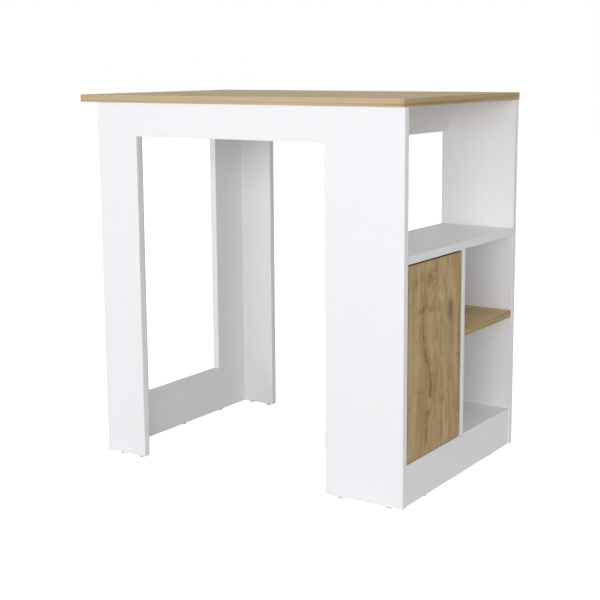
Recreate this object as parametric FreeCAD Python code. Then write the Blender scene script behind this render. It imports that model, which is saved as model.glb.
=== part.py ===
import FreeCAD, Part
import math
import os

from FreeCAD import Vector

# Kitchen island of flat boards, in millimetres. +Z is up, +X points to the cabinet end and -Y to the closed
# long front. The origin lies on the floor under the middle of the worktop.

# Worktop and overall size
TOP_LENGTH = 900.0
TOP_DEPTH = 600.0
HEIGHT = 900.0
TOP_BOARD = 18.0
LEFT_OVERHANG = 50.0
FRONT_OVERHANG = 5.0
BACK_OVERHANG = 5.0
TOP_EDGE_RADIUS = 0.8

# Boards of the frame
BOARD = 18.0
EDGE_RADIUS = 0.6
FRONT_LEG_WIDTH = 120.0
REAR_LEG_WIDTH = 115.0
END_PANEL_WIDTH = 124.0
APRON_HEIGHT = 80.0
LOWER_RAIL_HEIGHT = 120.0

# Cabinet end
CABINET_DEPTH = 200.0
PLINTH_HEIGHT = 77.0
PLINTH_SETBACK = 3.0
COMPARTMENT_HEIGHT = 447.0
DOOR_BAY_WIDTH = 264.0
LOWER_BAY_HEIGHT = 238.0
SHELF_BOARD = 18.0
SHELF_SETBACK = 2.0
SHELF_END_GAP = 0.4
BACK_THICKNESS = 3.0

# Inset door
DOOR_BOARD = 18.0
DOOR_TOP_GAP = 3.0
DOOR_BOTTOM_GAP = 3.0
DOOR_FREE_GAP = 2.0
DOOR_EDGE_RADIUS = 0.8
DOOR_OPENING = 105.0

# Concealed hinges: a round cup in the door, a cranked arm on the side panel and one pin in the cup
HINGE_FROM_DOOR_END = 80.0
CUP_RADIUS = 17.5
CUP_DEPTH = 13.0
CUP_WALL = 1.0
CUP_FLOOR = 0.8
CUP_TO_DOOR_EDGE = 7.0
CUP_FLANGE = 1.2
CUP_RIM = 2.0
CUP_EAR_SPACING = 48.0
CUP_EAR_OFFSET = 6.0
CUP_EAR_RADIUS = 5.5
PIN_DEPTH = 9.0
PIN_RADIUS = 1.5
PIN_RUNNING_FIT = 0.05
PIN_PRESS_FIT = 0.02
PIN_END_INSET = 0.2
KNUCKLE_RADIUS = 2.6
KNUCKLE_END_GAP = 0.7
ARM_THICKNESS = 2.2
ARM_WIDTH = 14.0
ARM_BEND = 4.0
ARM_FOOT_TAIL = 20.0
SWING_CLEARANCE = 0.4
HOOK_CLEARANCE = 0.7
PLATE_LINE = 37.0
PLATE_THICKNESS = 4.0
PLATE_LENGTH = 28.0
PLATE_WIDTH = 17.0
PLATE_SCREW_SPACING = 32.0
PLATE_WING_RADIUS = 7.0
ARM_SCREW_OFFSET = 8.0
ARM_SCREW_LENGTH = 5.0
ARM_SCREW_RADIUS = 2.0

# Push latch under the middle shelf
LATCH_FROM_DOOR_EDGE = 28.0
LATCH_DROP = 14.0
LATCH_BARREL_RADIUS = 6.0
LATCH_LENGTH = 52.0
LATCH_END_WALL = 3.0
LATCH_BASE_THICKNESS = 2.5
LATCH_BASE_WIDTH = 34.0
LATCH_BASE_LENGTH = 30.0
LATCH_WEB = 7.0
LATCH_SCREW_SPACING = 22.0
LATCH_TO_DOOR = 4.0
PLUNGER_RADIUS = 4.0
PLUNGER_FIT = 0.1
PLUNGER_TO_STRIKE = 0.3
STRIKE_RADIUS = 8.0
STRIKE_THICKNESS = 0.8

# Knock-down fittings
FIT = 0.1
END_ROOM = 0.5
DOWEL_RADIUS = 4.0
DOWEL_LENGTH = 40.0
DOWEL_IN_FACE = 12.0
CAM_RADIUS = 7.5
CAM_DEPTH = 12.5
CAM_INSET = 0.3
CAM_SETBACK = 24.0
CAM_SLOT = (9.0, 1.6, 1.6)
BOLT_HEAD_RADIUS = 3.2
BOLT_HEAD_LENGTH = 4.0
BOLT_NECK_RADIUS = 2.2
BOLT_COLLAR_RADIUS = 3.6
BOLT_COLLAR_LENGTH = 3.0
BOLT_THREAD_RADIUS = 2.9
BOLT_THREAD_LENGTH = 11.0
APRON_FIXING_PITCH = 48.0
TOP_RAIL_FIXING_PITCH = 20.0
LOWER_RAIL_FIXING_PITCH = 70.0
PLINTH_FIXING_PITCH = 36.0
CORNER_DOWEL_COUNT = 4
CORNER_DOWEL_END = 90.0
SHELF_CAM_FROM_FRONT = 40.0
SHELF_CAM_FROM_BACK = 45.0
DIVIDER_DOWEL_PITCH = 110.0
TOP_DOWEL_PITCH = 120.0
PLINTH_DOWEL_PITCH = 300.0

# Screws, nails and pegs
SCREW_RADIUS = 1.75
SCREW_LENGTH = 14.0
SCREW_HEAD_RADIUS = 3.5
SCREW_HEAD_HEIGHT = 2.2
NAIL_RADIUS = 0.8
NAIL_LENGTH = 18.0
NAIL_HEAD_RADIUS = 2.0
NAIL_HEAD_HEIGHT = 0.8
NAIL_END = 60.0
PEG_RADIUS = 2.5
PEG_IN_BOARD = 9.0
PEG_OUT = 8.0
PEG_FROM_EDGE = 35.0
PEG_REST_GAP = 0.05

# Corner brackets that hold the worktop
BRACKET_LEG = 24.0
BRACKET_WIDTH = 30.0
BRACKET_WALL = 3.0
BRACKET_CHEEK = 2.5
BRACKET_FROM_KNEE_END = 175.0

# Nail-in glides
GLIDE_HEIGHT = 4.0
GLIDE_FOOT_RADIUS = 7.0
GLIDE_RADIUS = 8.5
GLIDE_NAIL_RADIUS = 1.2
GLIDE_NAIL_LENGTH = 14.0
LEG_GLIDE_FROM_EDGE = 18.0
LEG_GLIDE_PITCH = 59.0
PANEL_GLIDE_PITCH = 126.0
PLINTH_GLIDE_PITCH = 352.0
END_PANEL_GLIDE_FROM_EDGE = 14.0

# Planes that the boards share
X_LEFT = -TOP_LENGTH / 2 + LEFT_OVERHANG
X_RIGHT = TOP_LENGTH / 2
Y_FRONT = -TOP_DEPTH / 2 + FRONT_OVERHANG
Y_BACK = TOP_DEPTH / 2 - BACK_OVERHANG
Z_FOOT = GLIDE_HEIGHT
Z_TOP = HEIGHT - TOP_BOARD
X_END_INNER = X_LEFT + BOARD
X_CABINET = X_RIGHT - CABINET_DEPTH
X_BACKED = X_CABINET + BACK_THICKNESS
X_PLINTH = X_RIGHT - PLINTH_SETBACK
Y_INNER_FRONT = Y_FRONT + BOARD
Y_INNER_BACK = Y_BACK - BOARD
Y_FRONT_GAP = Y_INNER_FRONT + END_PANEL_WIDTH
Y_BACK_GAP = Y_INNER_BACK - END_PANEL_WIDTH
Z_APRON = Z_TOP - APRON_HEIGHT
Z_LOWER_RAIL = Z_FOOT + LOWER_RAIL_HEIGHT
Z_BOTTOM_UNDER = Z_FOOT + PLINTH_HEIGHT
Z_BOTTOM = Z_BOTTOM_UNDER + BOARD
Z_SHELF_UNDER = Z_BOTTOM + COMPARTMENT_HEIGHT
Z_SHELF = Z_SHELF_UNDER + BOARD
Z_BAY_SHELF = Z_BOTTOM + LOWER_BAY_HEIGHT
Y_DIVIDER = (Y_INNER_FRONT + DOOR_BAY_WIDTH, Y_INNER_FRONT + DOOR_BAY_WIDTH + BOARD)

# Door and hinge axis: the gap on the hinge side is what the door's front corner needs to swing past the panel
AXIS_TO_FRONT = DOOR_BOARD - PIN_DEPTH
AXIS_TO_EDGE = CUP_TO_DOOR_EDGE + CUP_RADIUS
DOOR_HINGE_GAP = math.hypot(AXIS_TO_FRONT, AXIS_TO_EDGE) - AXIS_TO_EDGE + SWING_CLEARANCE
X_DOOR_BACK = X_RIGHT - DOOR_BOARD
Y_DOOR = (Y_INNER_FRONT + DOOR_HINGE_GAP, Y_DIVIDER[0] - DOOR_FREE_GAP)
Z_DOOR = (Z_BOTTOM + DOOR_BOTTOM_GAP, Z_SHELF_UNDER - DOOR_TOP_GAP)
AXIS_X = X_DOOR_BACK + PIN_DEPTH
AXIS_Y = Y_DOOR[0] + AXIS_TO_EDGE
HINGES = {"lower": Z_DOOR[0] + HINGE_FROM_DOOR_END, "upper": Z_DOOR[1] - HINGE_FROM_DOOR_END}

X = Vector(1, 0, 0)
Y = Vector(0, 1, 0)
Z = Vector(0, 0, 1)
PLANE_TOLERANCE = 1e-6

pieces = {}
holes = {}


def middle(span):
    """Middle of a (low, high) pair."""
    return (span[0] + span[1]) / 2


def spread(centre, pitch):
    """Two places a pitch apart about a centre."""
    return (centre - pitch / 2, centre + pitch / 2)


def block(x, y, z):
    """Box between three pairs of planes, each given as (low, high)."""
    return Part.makeBox(x[1] - x[0], y[1] - y[0], z[1] - z[0], Vector(x[0], y[0], z[0]))


def rod(radius, length, start, direction):
    """Round bar from a start point along a direction."""
    return Part.makeCylinder(radius, length, start, direction)


def lies_on(edge, face, box):
    """Whether an edge lies in one outer plane of a box, named by sign and axis, such as +x."""
    axis = face[1].upper()
    limit = getattr(box, axis + ("Max" if face[0] == "+" else "Min"))
    low = getattr(edge.BoundBox, axis + "Min")
    high = getattr(edge.BoundBox, axis + "Max")
    return abs(low - limit) < PLANE_TOLERANCE and abs(high - limit) < PLANE_TOLERANCE


def eased(solid, corners, radius):
    """Round the box edges that are named by the two faces meeting there, such as +x-y."""
    box = solid.BoundBox
    chosen = []
    for corner in corners.split():
        faces = (corner[:2], corner[2:])
        chosen += [edge for edge in solid.Edges if all(lies_on(edge, face, box) for face in faces)]
    return solid.makeFillet(radius, chosen)


def add(name, solid):
    """Put a solid into the named piece or group of like pieces."""
    pieces.setdefault(name, []).append(solid)


def drill(name, tool):
    """Note a hole to be cut into the named piece or group."""
    holes.setdefault(name, []).append(tool)


def dowel(at, into, board, mate, depth, mate_depth):
    """Wooden dowel across the joint face at a point, with a hole in both boards."""
    add("wooden_dowels", rod(DOWEL_RADIUS, depth + mate_depth, at - into * depth, into))
    deep = depth + END_ROOM
    drill(board, rod(DOWEL_RADIUS + FIT, deep, at - into * deep, into))
    drill(mate, rod(DOWEL_RADIUS + FIT, mate_depth + END_ROOM, at, into))


def face_dowel(at, into, board, mate):
    """Dowel from the edge of one board into the face of another."""
    dowel(at, into, board, mate, DOWEL_LENGTH - DOWEL_IN_FACE, DOWEL_IN_FACE)


def edge_dowel(at, into, board, mate):
    """Dowel between the edges of two boards in one plane."""
    dowel(at, into, board, mate, DOWEL_LENGTH / 2, DOWEL_LENGTH / 2)


def cam_joint(at, into, cam_side, board, mate):
    """Cam lock in a board's face and its bolt in the mating board, about a point at mid-thickness."""
    centre = at - into * CAM_SETBACK
    surface = centre + cam_side * (BOARD / 2)
    head_start = centre - into * (BOLT_HEAD_LENGTH / 2)
    neck_length = CAM_SETBACK
    collar_start = at - into * BOLT_COLLAR_LENGTH
    bolt = rod(BOLT_HEAD_RADIUS, BOLT_HEAD_LENGTH, head_start, into)
    bolt = bolt.fuse(rod(BOLT_NECK_RADIUS, neck_length, centre, into))
    bolt = bolt.fuse(rod(BOLT_COLLAR_RADIUS, BOLT_COLLAR_LENGTH, collar_start, into))
    bolt = bolt.fuse(rod(BOLT_THREAD_RADIUS, BOLT_THREAD_LENGTH, at, into))
    add("cam_bolts", bolt.removeSplitter())

    cam = rod(CAM_RADIUS, CAM_DEPTH - CAM_INSET, surface - cam_side * CAM_INSET, cam_side * -1)
    room = rod(BOLT_HEAD_RADIUS + FIT, BOLT_HEAD_LENGTH + 2 * FIT, head_start - into * FIT, into)
    neck_room = rod(BOLT_NECK_RADIUS + FIT, neck_length, centre, into)
    across = into.cross(cam_side)
    slot_long, slot_wide, slot_deep = CAM_SLOT
    corner = surface - cam_side * (CAM_INSET + slot_deep) - across * (slot_long / 2) - into * (slot_wide / 2)
    slot_face = Part.Face(Part.makePolygon([
        corner,
        corner + across * slot_long,
        corner + across * slot_long + into * slot_wide,
        corner + into * slot_wide,
        corner,
    ]))
    slot = slot_face.extrude(cam_side * slot_deep)
    add("cam_locks", cam.cut([room, neck_room, slot]))

    drill(board, rod(CAM_RADIUS + FIT, CAM_DEPTH + FIT, surface, cam_side * -1))
    drill(board, rod(BOLT_COLLAR_RADIUS + FIT, CAM_SETBACK, at, into * -1))
    drill(mate, rod(BOLT_THREAD_RADIUS + FIT, BOLT_THREAD_LENGTH + END_ROOM, at, into))


def screw(group, at, into, length, radius, drilled):
    """Pan-head screw whose head seats at a point, with its hole in every piece it passes."""
    head = rod(SCREW_HEAD_RADIUS, SCREW_HEAD_HEIGHT, at - into * SCREW_HEAD_HEIGHT, into)
    add(group, head.fuse(rod(radius, length, at, into)).removeSplitter())
    for name in drilled:
        drill(name, rod(radius + FIT, length + END_ROOM, at, into))


def make_worktop():
    """Worktop with all its edges eased."""
    top = block((-TOP_LENGTH / 2, TOP_LENGTH / 2), (-TOP_DEPTH / 2, TOP_DEPTH / 2), (Z_TOP, HEIGHT))
    add("worktop", top.makeFillet(TOP_EDGE_RADIUS, top.Edges))


def make_left_end():
    """Two legs of L shape and the two rails between them."""
    upright = (Z_FOOT, Z_TOP)
    end = (X_LEFT, X_END_INNER)
    front_leg = block((X_LEFT, X_LEFT + FRONT_LEG_WIDTH), (Y_FRONT, Y_INNER_FRONT), upright)
    rear_leg = block((X_LEFT, X_LEFT + REAR_LEG_WIDTH), (Y_INNER_BACK, Y_BACK), upright)
    add("front_left_leg", eased(front_leg, "-x-y +x-y +x+y", EDGE_RADIUS))
    add("rear_left_leg", eased(rear_leg, "-x+y +x-y +x+y", EDGE_RADIUS))
    front_end = block(end, (Y_INNER_FRONT, Y_FRONT_GAP), upright)
    rear_end = block(end, (Y_BACK_GAP, Y_INNER_BACK), upright)
    add("front_end_panel", eased(front_end, "-x+y +x+y", EDGE_RADIUS))
    add("rear_end_panel", eased(rear_end, "-x-y +x-y", EDGE_RADIUS))
    lower = block(end, (Y_FRONT_GAP, Y_BACK_GAP), (Z_FOOT, Z_LOWER_RAIL))
    upper = block(end, (Y_FRONT_GAP, Y_BACK_GAP), (Z_APRON, Z_TOP))
    add("left_lower_rail", eased(lower, "-x+z +x+z", EDGE_RADIUS))
    add("left_upper_rail", eased(upper, "-x-z +x-z", EDGE_RADIUS))


def make_aprons():
    """Rails under the long edges of the worktop, in one plane with the legs and the side panels."""
    height = (Z_APRON, Z_TOP)
    front = block((X_LEFT + FRONT_LEG_WIDTH, X_CABINET), (Y_FRONT, Y_INNER_FRONT), height)
    rear = block((X_LEFT + REAR_LEG_WIDTH, X_CABINET), (Y_INNER_BACK, Y_BACK), height)
    add("front_apron", eased(front, "-y-z +y-z", EDGE_RADIUS))
    add("rear_apron", eased(rear, "-y-z +y-z", EDGE_RADIUS))


def make_cabinet():
    """Side panels, shelf, bottom, divider, plinth, top rail and back of the cabinet end."""
    depth = (X_CABINET, X_RIGHT)
    inside = (Y_INNER_FRONT, Y_INNER_BACK)
    sides = {"front_side_panel": (Y_FRONT, Y_INNER_FRONT), "rear_side_panel": (Y_INNER_BACK, Y_BACK)}
    for name, thickness in sides.items():
        panel = block(depth, thickness, (Z_FOOT, Z_TOP))
        add(name, eased(panel, "+x-y +x+y -x-y -x+y", EDGE_RADIUS))
    shelf = block((X_BACKED, X_RIGHT), inside, (Z_SHELF_UNDER, Z_SHELF))
    add("mid_shelf", eased(shelf, "+x+z +x-z", EDGE_RADIUS))
    bottom = block((X_BACKED, X_PLINTH), inside, (Z_BOTTOM_UNDER, Z_BOTTOM))
    add("cabinet_bottom", eased(bottom, "+x+z", EDGE_RADIUS))
    divider = block((X_BACKED, X_RIGHT), Y_DIVIDER, (Z_BOTTOM, Z_SHELF_UNDER))
    add("cabinet_divider", eased(divider, "+x-y +x+y", EDGE_RADIUS))
    plinth = block((X_PLINTH - BOARD, X_PLINTH), inside, (Z_FOOT, Z_BOTTOM_UNDER))
    add("plinth", eased(plinth, "+x-z", EDGE_RADIUS))
    rail = block((X_CABINET, X_CABINET + BOARD), inside, (Z_APRON, Z_TOP))
    add("cabinet_top_rail", eased(rail, "+x-z -x-z", EDGE_RADIUS))
    add("cabinet_back", block((X_CABINET, X_BACKED), inside, (Z_BOTTOM_UNDER, Z_SHELF)))


def make_bay_shelf():
    """Small shelf between divider and rear panel, on four pegs."""
    width = (Y_DIVIDER[1] + SHELF_END_GAP, Y_INNER_BACK - SHELF_END_GAP)
    depth = (X_BACKED, X_RIGHT - SHELF_SETBACK)
    shelf = block(depth, width, (Z_BAY_SHELF, Z_BAY_SHELF + SHELF_BOARD))
    add("bay_shelf", eased(shelf, "+x+z +x-z", EDGE_RADIUS))
    peg_z = Z_BAY_SHELF - PEG_RADIUS - PEG_REST_GAP
    seats = {"cabinet_divider": (Y_DIVIDER[1], Y), "rear_side_panel": (Y_INNER_BACK, Y * -1)}
    for x in (depth[0] + PEG_FROM_EDGE, depth[1] - PEG_FROM_EDGE):
        for name, (face, outward) in seats.items():
            start = Vector(x, face, peg_z) - outward * PEG_IN_BOARD
            add("shelf_pins", rod(PEG_RADIUS, PEG_IN_BOARD + PEG_OUT, start, outward))
            drill(name, rod(PEG_RADIUS + FIT, PEG_IN_BOARD + END_ROOM, Vector(x, face, peg_z), outward * -1))


def make_door():
    """Inset door with its bores for the hinge cups, and the strike plate of the latch on its back."""
    door = block((X_DOOR_BACK, X_RIGHT), Y_DOOR, Z_DOOR)
    add("door", door.makeFillet(DOOR_EDGE_RADIUS, door.Edges))
    for z in HINGES.values():
        drill("door", rod(CUP_RADIUS + FIT, CUP_DEPTH + FIT, Vector(X_DOOR_BACK, AXIS_Y, z), X))


def latch_point(x):
    """Point on the latch's axis."""
    return Vector(x, Y_DOOR[1] - LATCH_FROM_DOOR_EDGE, Z_SHELF_UNDER - LATCH_DROP)


def hinge_cup(z):
    """Drawn cup with a flat rim and two screw ears, and holes for the pin in its walls."""
    back = Vector(X_DOOR_BACK, AXIS_Y, z)
    rim = back - X * CUP_FLANGE
    ear_y = AXIS_Y + CUP_EAR_OFFSET
    ears = spread(z, CUP_EAR_SPACING)
    flange = rod(CUP_RADIUS + CUP_RIM, CUP_FLANGE, rim, X)
    flange = flange.fuse(block((rim.x, back.x), (ear_y - CUP_EAR_RADIUS, ear_y + CUP_EAR_RADIUS), ears))
    for ear_z in ears:
        flange = flange.fuse(rod(CUP_EAR_RADIUS, CUP_FLANGE, Vector(rim.x, ear_y, ear_z), X))
        screw("cup_screws", Vector(rim.x, ear_y, ear_z), X, SCREW_LENGTH, SCREW_RADIUS, ("door",))
        flange = flange.cut(rod(SCREW_RADIUS + FIT, CUP_FLANGE, Vector(rim.x, ear_y, ear_z), X))
    cup = flange.fuse(rod(CUP_RADIUS, CUP_DEPTH, back, X)).removeSplitter()
    cup = cup.cut(rod(CUP_RADIUS - CUP_WALL, CUP_FLANGE + CUP_DEPTH - CUP_FLOOR, rim, X))
    bore_start = Vector(AXIS_X, AXIS_Y, z - CUP_RADIUS)
    return cup.cut(rod(PIN_RADIUS + PIN_PRESS_FIT, 2 * CUP_RADIUS, bore_start, Z))


def polar(radius, degrees):
    """Point about the hinge axis in plan."""
    angle = math.radians(degrees)
    return Vector(AXIS_X + radius * math.cos(angle), AXIS_Y + radius * math.sin(angle), 0)


def bend(centre, start, end):
    """Quarter-like arc about a centre from a start to an end point."""
    outward = ((start - centre) + (end - centre)).normalize()
    return Part.Arc(start, centre + outward * (start - centre).Length, end).toShape()


def arm_path():
    """Centre line of the cranked arm in plan, from its foot on the panel round to the pin.

    The hook passes outside the circle that the door's corners sweep, and its last straight run points at the
    axis half way between the directions that the cup's mouth faces when the door is shut and open.
    """
    sweep = math.hypot(max(AXIS_TO_FRONT, PIN_DEPTH), AXIS_TO_EDGE)
    hook = sweep + HOOK_CLEARANCE + ARM_THICKNESS / 2
    foot_y = Y_INNER_FRONT + PLATE_THICKNESS + ARM_THICKNESS / 2
    web_x = AXIS_X - hook
    entry = 180.0 - DOOR_OPENING / 2
    inner = hook - ARM_BEND
    turn = math.degrees(math.asin(ARM_BEND / inner))

    foot_end = Vector(X_DOOR_BACK - PLATE_LINE - ARM_FOOT_TAIL, foot_y, 0)
    foot_bend = Vector(web_x - ARM_BEND, foot_y, 0)
    web_start = Vector(web_x, foot_y + ARM_BEND, 0)
    hook_start = polar(hook, 180.0)
    hook_end = polar(hook, entry + turn)
    neck_start = polar(inner * math.cos(math.radians(turn)), entry)
    axis = polar(0.0, 0.0)
    return Part.Wire([
        Part.makeLine(foot_end, foot_bend),
        bend(Vector(web_x - ARM_BEND, foot_y + ARM_BEND, 0), foot_bend, web_start),
        Part.makeLine(web_start, hook_start),
        bend(axis, hook_start, hook_end),
        bend(polar(inner, entry + turn), hook_end, neck_start),
        Part.makeLine(neck_start, axis),
    ])


def hinge_arm(z):
    """Cranked steel strip with a rolled knuckle on the pin."""
    path = arm_path()
    start = path.Vertexes[0].Point
    half = ARM_THICKNESS / 2
    low = -ARM_WIDTH / 2
    outline = ((-half, low), (half, low), (half, -low), (-half, -low))
    corners = [Vector(start.x, start.y + y, side) for y, side in outline]
    section = Part.makePolygon(corners + corners[:1])
    strip = path.makePipeShell([section], True, False)
    knuckle_half = CUP_RADIUS - CUP_WALL - KNUCKLE_END_GAP
    knuckle = rod(KNUCKLE_RADIUS, 2 * knuckle_half, Vector(AXIS_X, AXIS_Y, -knuckle_half), Z)
    bore = rod(PIN_RADIUS + PIN_RUNNING_FIT, 2 * knuckle_half, Vector(AXIS_X, AXIS_Y, -knuckle_half), Z)
    arm = strip.fuse(knuckle).cut(bore)
    arm.translate(Vector(0, 0, z))
    return arm


def mounting_plate(z):
    """Cross-shaped plate on the side panel: two screw wings and a body under the arm's foot."""
    line = X_DOOR_BACK - PLATE_LINE
    thickness = (Y_INNER_FRONT, Y_INNER_FRONT + PLATE_THICKNESS)
    wings = spread(z, PLATE_SCREW_SPACING)
    plate = block(spread(line, PLATE_LENGTH), thickness, spread(z, PLATE_WIDTH))
    plate = plate.fuse(block(spread(line, 2 * PLATE_WING_RADIUS), thickness, wings))
    for wing in wings:
        plate = plate.fuse(rod(PLATE_WING_RADIUS, PLATE_THICKNESS, Vector(line, thickness[0], wing), Y))
    return plate.removeSplitter()


def make_hinges():
    """Upper and lower concealed hinge with their pins and screws."""
    line = X_DOOR_BACK - PLATE_LINE
    plate_face = Y_INNER_FRONT + PLATE_THICKNESS
    pin_half = CUP_RADIUS - PIN_END_INSET
    for level, z in HINGES.items():
        plate_name = level + "_hinge_plate"
        arm_name = level + "_hinge_arm"
        add(level + "_hinge_cup", hinge_cup(z))
        add(level + "_hinge_pin", rod(PIN_RADIUS, 2 * pin_half, Vector(AXIS_X, AXIS_Y, z - pin_half), Z))
        add(arm_name, hinge_arm(z))
        add(plate_name, mounting_plate(z))
        for wing in spread(z, PLATE_SCREW_SPACING):
            seat = Vector(line, plate_face, wing)
            screw("plate_screws", seat, Y * -1, SCREW_LENGTH, SCREW_RADIUS, (plate_name, "front_side_panel"))
        seat = Vector(line - ARM_SCREW_OFFSET, plate_face + ARM_THICKNESS, z)
        screw("arm_screws", seat, Y * -1, ARM_SCREW_LENGTH, ARM_SCREW_RADIUS, (arm_name, plate_name))


def make_latch():
    """Push latch: holder under the shelf, sliding plunger, and the strike plate on the door's back."""
    front = X_DOOR_BACK - LATCH_TO_DOOR
    rear = front - LATCH_LENGTH
    axis = latch_point(rear)
    base_x = spread((front + rear) / 2, LATCH_BASE_LENGTH)
    base_z = (Z_SHELF_UNDER - LATCH_BASE_THICKNESS, Z_SHELF_UNDER)
    holder = block(base_x, spread(axis.y, LATCH_BASE_WIDTH), base_z)
    holder = holder.fuse(block(base_x, spread(axis.y, LATCH_WEB), (axis.z, base_z[0])))
    holder = holder.fuse(rod(LATCH_BARREL_RADIUS, LATCH_LENGTH, axis, X)).removeSplitter()
    bore_start = latch_point(rear + LATCH_END_WALL)
    holder = holder.cut(rod(PLUNGER_RADIUS + PLUNGER_FIT, LATCH_LENGTH, bore_start, X))
    add("latch_holder", holder)
    for y in spread(axis.y, LATCH_SCREW_SPACING):
        seat = Vector(middle(base_x), y, base_z[0])
        screw("latch_screws", seat, Z, SCREW_LENGTH, SCREW_RADIUS, ("latch_holder", "mid_shelf"))

    strike_face = X_DOOR_BACK - STRIKE_THICKNESS
    add("strike_plate", rod(STRIKE_RADIUS, STRIKE_THICKNESS, latch_point(strike_face), X))
    tip = strike_face - PLUNGER_TO_STRIKE
    tail = bore_start.x + END_ROOM
    add("latch_plunger", rod(PLUNGER_RADIUS, tip - tail, latch_point(tail), X))


def fix_frame():
    """Dowels and cam locks of the open frame."""
    apron_z = (Z_APRON + Z_TOP) / 2
    cam_z, dowel_z = spread(apron_z, APRON_FIXING_PITCH)
    aprons = {
        "front": (FRONT_LEG_WIDTH, Y_FRONT + BOARD / 2, Y),
        "rear": (REAR_LEG_WIDTH, Y_BACK - BOARD / 2, Y * -1),
    }
    for side, (leg_width, y, inward) in aprons.items():
        apron = side + "_apron"
        ends = ((X_LEFT + leg_width, X * -1, side + "_left_leg"), (X_CABINET, X, side + "_side_panel"))
        for x, into, mate in ends:
            cam_joint(Vector(x, y, cam_z), into, inward, apron, mate)
            edge_dowel(Vector(x, y, dowel_z), into, apron, mate)

    x = X_LEFT + BOARD / 2
    steps = CORNER_DOWEL_COUNT - 1
    first = Z_FOOT + CORNER_DOWEL_END
    last = Z_TOP - CORNER_DOWEL_END
    corner_heights = [first + (last - first) * step / steps for step in range(CORNER_DOWEL_COUNT)]
    ends = {"front": (Y_INNER_FRONT, Y_FRONT_GAP, Y * -1), "rear": (Y_INNER_BACK, Y_BACK_GAP, Y)}
    for side, (leg_face, gap_face, into) in ends.items():
        panel = side + "_end_panel"
        for z in corner_heights:
            face_dowel(Vector(x, leg_face, z), into, panel, side + "_left_leg")
        for z in spread(Z_FOOT + LOWER_RAIL_HEIGHT / 2, LOWER_RAIL_FIXING_PITCH):
            edge_dowel(Vector(x, gap_face, z), into, "left_lower_rail", panel)
        cam_joint(Vector(x, gap_face, cam_z), into, X, "left_upper_rail", panel)
        edge_dowel(Vector(x, gap_face, dowel_z), into, "left_upper_rail", panel)


def fix_cabinet():
    """Dowels, cam locks and nails of the cabinet end."""
    sides = {"front_side_panel": (Y_INNER_FRONT, Y * -1), "rear_side_panel": (Y_INNER_BACK, Y)}
    rail_x = X_CABINET + BOARD / 2
    rail_cam_z, rail_dowel_z = spread((Z_APRON + Z_TOP) / 2, TOP_RAIL_FIXING_PITCH)
    plinth_x = X_PLINTH - BOARD / 2
    plinth_cam_z, plinth_dowel_z = spread((Z_FOOT + Z_BOTTOM_UNDER) / 2, PLINTH_FIXING_PITCH)
    cam_x = (X_CABINET + SHELF_CAM_FROM_BACK, X_RIGHT - SHELF_CAM_FROM_FRONT)
    levels = {"mid_shelf": Z_SHELF - BOARD / 2, "cabinet_bottom": Z_BOTTOM - BOARD / 2}
    for panel, (face, into) in sides.items():
        cam_joint(Vector(rail_x, face, rail_cam_z), into, X * -1, "cabinet_top_rail", panel)
        face_dowel(Vector(rail_x, face, rail_dowel_z), into, "cabinet_top_rail", panel)
        cam_joint(Vector(plinth_x, face, plinth_cam_z), into, X * -1, "plinth", panel)
        face_dowel(Vector(plinth_x, face, plinth_dowel_z), into, "plinth", panel)
        for name, z in levels.items():
            for x in cam_x:
                cam_joint(Vector(x, face, z), into, Z * -1, name, panel)
            face_dowel(Vector(middle(cam_x), face, z), into, name, panel)
        for x in spread((X_CABINET + X_RIGHT) / 2, TOP_DOWEL_PITCH):
            face_dowel(Vector(x, face + into.y * BOARD / 2, Z_TOP), Z, panel, "worktop")

    divider_y = middle(Y_DIVIDER)
    for x in spread(middle((X_BACKED, X_RIGHT)), DIVIDER_DOWEL_PITCH):
        face_dowel(Vector(x, divider_y, Z_BOTTOM), Z * -1, "cabinet_divider", "cabinet_bottom")
        face_dowel(Vector(x, divider_y, Z_SHELF_UNDER), Z, "cabinet_divider", "mid_shelf")
    for y in spread(0.0, PLINTH_DOWEL_PITCH):
        face_dowel(Vector(plinth_x, y, Z_BOTTOM_UNDER), Z, "plinth", "cabinet_bottom")

    across = (Y_INNER_FRONT + NAIL_END, Y_INNER_BACK - NAIL_END)
    upright = (Z_BOTTOM + NAIL_END, Z_SHELF_UNDER - NAIL_END)
    nails = [("mid_shelf", y, levels["mid_shelf"]) for y in across]
    nails += [("cabinet_bottom", y, levels["cabinet_bottom"]) for y in across]
    nails += [("cabinet_divider", divider_y, z) for z in upright]
    for name, y, z in nails:
        seat = Vector(X_CABINET, y, z)
        head = rod(NAIL_HEAD_RADIUS, NAIL_HEAD_HEIGHT, seat - X * NAIL_HEAD_HEIGHT, X)
        add("back_nails", head.fuse(rod(NAIL_RADIUS, NAIL_LENGTH, seat, X)).removeSplitter())
        for board in (name, "cabinet_back"):
            drill(board, rod(NAIL_RADIUS + FIT, NAIL_LENGTH + END_ROOM, seat, X))


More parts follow.
